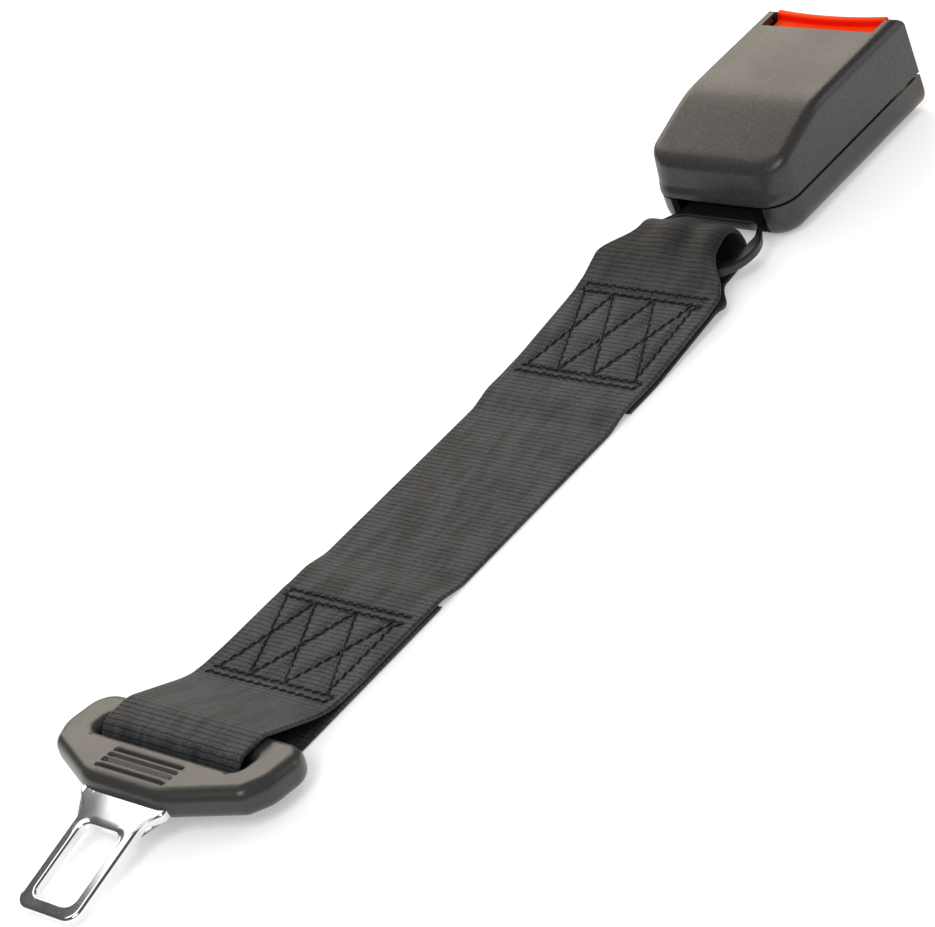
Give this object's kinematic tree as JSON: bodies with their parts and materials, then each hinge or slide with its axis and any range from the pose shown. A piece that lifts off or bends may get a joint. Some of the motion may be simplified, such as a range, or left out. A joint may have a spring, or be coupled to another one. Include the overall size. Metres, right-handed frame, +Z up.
{
  "type": "seat belt extender",
  "caption": "Seat belt extender: a short folded webbing strap with sewn ends, a chromed tongue in a plastic cover at one end and a buckle with an orange release button at the other.",
  "frame": {"origin": "on the floor, midway between the tip of the tongue and the mouth of the buckle, at the middle of the strap's width", "axes": "+X along the strap from the tongue to the buckle's mouth, +Y across the strap, +Z up"},
  "size_m": [0.342, 0.0714, 0.029],
  "materials": {
    "webbing": "woven polyester, dull, with fine crossways ribs",
    "stitching": "twisted black sewing thread",
    "chromed_steel": "bright chrome plating",
    "cover_plastic": "fine satin grain",
    "casing_plastic": "fine spark-eroded grain, satin",
    "anchor_steel": "black coated steel, semi-gloss",
    "button_plastic": "orange-red, smooth, semi-gloss",
    "bare_steel": "zinc plated, satin",
    "ejector_plastic": "natural off-white, satin",
    "spring_steel": "drawn wire"
  },
  "bodies": {
    "strap": {"webbing": "webbing", "tongue_end_stitching": "stitching", "buckle_end_stitching": "stitching"},
    "tongue": {"tongue_plate": "chromed_steel", "tongue_cover": "cover_plastic"},
    "buckle": {"upper_shell": "casing_plastic", "lower_shell": "casing_plastic", "buckle_frame": "bare_steel", "anchor_plate": "anchor_steel", "anchor_rivet_left": "bare_steel", "anchor_rivet_right": "bare_steel", "latch_pivot_pin": "bare_steel", "spring_bridge": "bare_steel", "latch_spring": "spring_steel", "ejector_spring": "spring_steel", "button_spring_left": "spring_steel", "button_spring_right": "spring_steel"},
    "button": {"release_button": "button_plastic"},
    "latch": {"latch_lever": "bare_steel"},
    "ejector": {"ejector": "ejector_plastic"}
  },
  "joints": [
    {"name": "tongue_swing", "type": "hinge", "parent": "strap", "child": "tongue", "pos_m": [-0.11352, 0, 0.00611], "axis": [0, 1, 0], "range_deg": [-90, 120]},
    {"name": "buckle_swing", "type": "hinge", "parent": "strap", "child": "buckle", "pos_m": [0.08118, 0, 0.0056], "axis": [0, -1, 0], "range_deg": [-20, 50]},
    {"name": "button_press", "type": "slide", "parent": "buckle", "child": "button", "axis": [-1, 0, 0], "range_m": [0, 0.006], "stiffness_N_per_m": 700, "springref_m": -0.004, "deforming": ["button_spring_left", "button_spring_right"]},
    {"name": "latch_lift", "type": "hinge", "parent": "buckle", "child": "latch", "pos_m": [0.11718, 0, 0.01675], "axis": [0, -1, 0], "range_deg": [0, 9.5], "deforming": ["latch_spring"]},
    {"name": "ejector_slide", "type": "slide", "parent": "buckle", "child": "ejector", "axis": [-1, 0, 0], "range_m": [0, 0.0115], "stiffness_N_per_m": 400, "springref_m": -0.004, "deforming": ["ejector_spring"]}
  ],
  "couplings": [
    {"joint": "latch_lift", "follows": "button_press", "rad_per_m": 27.6}
  ]
}
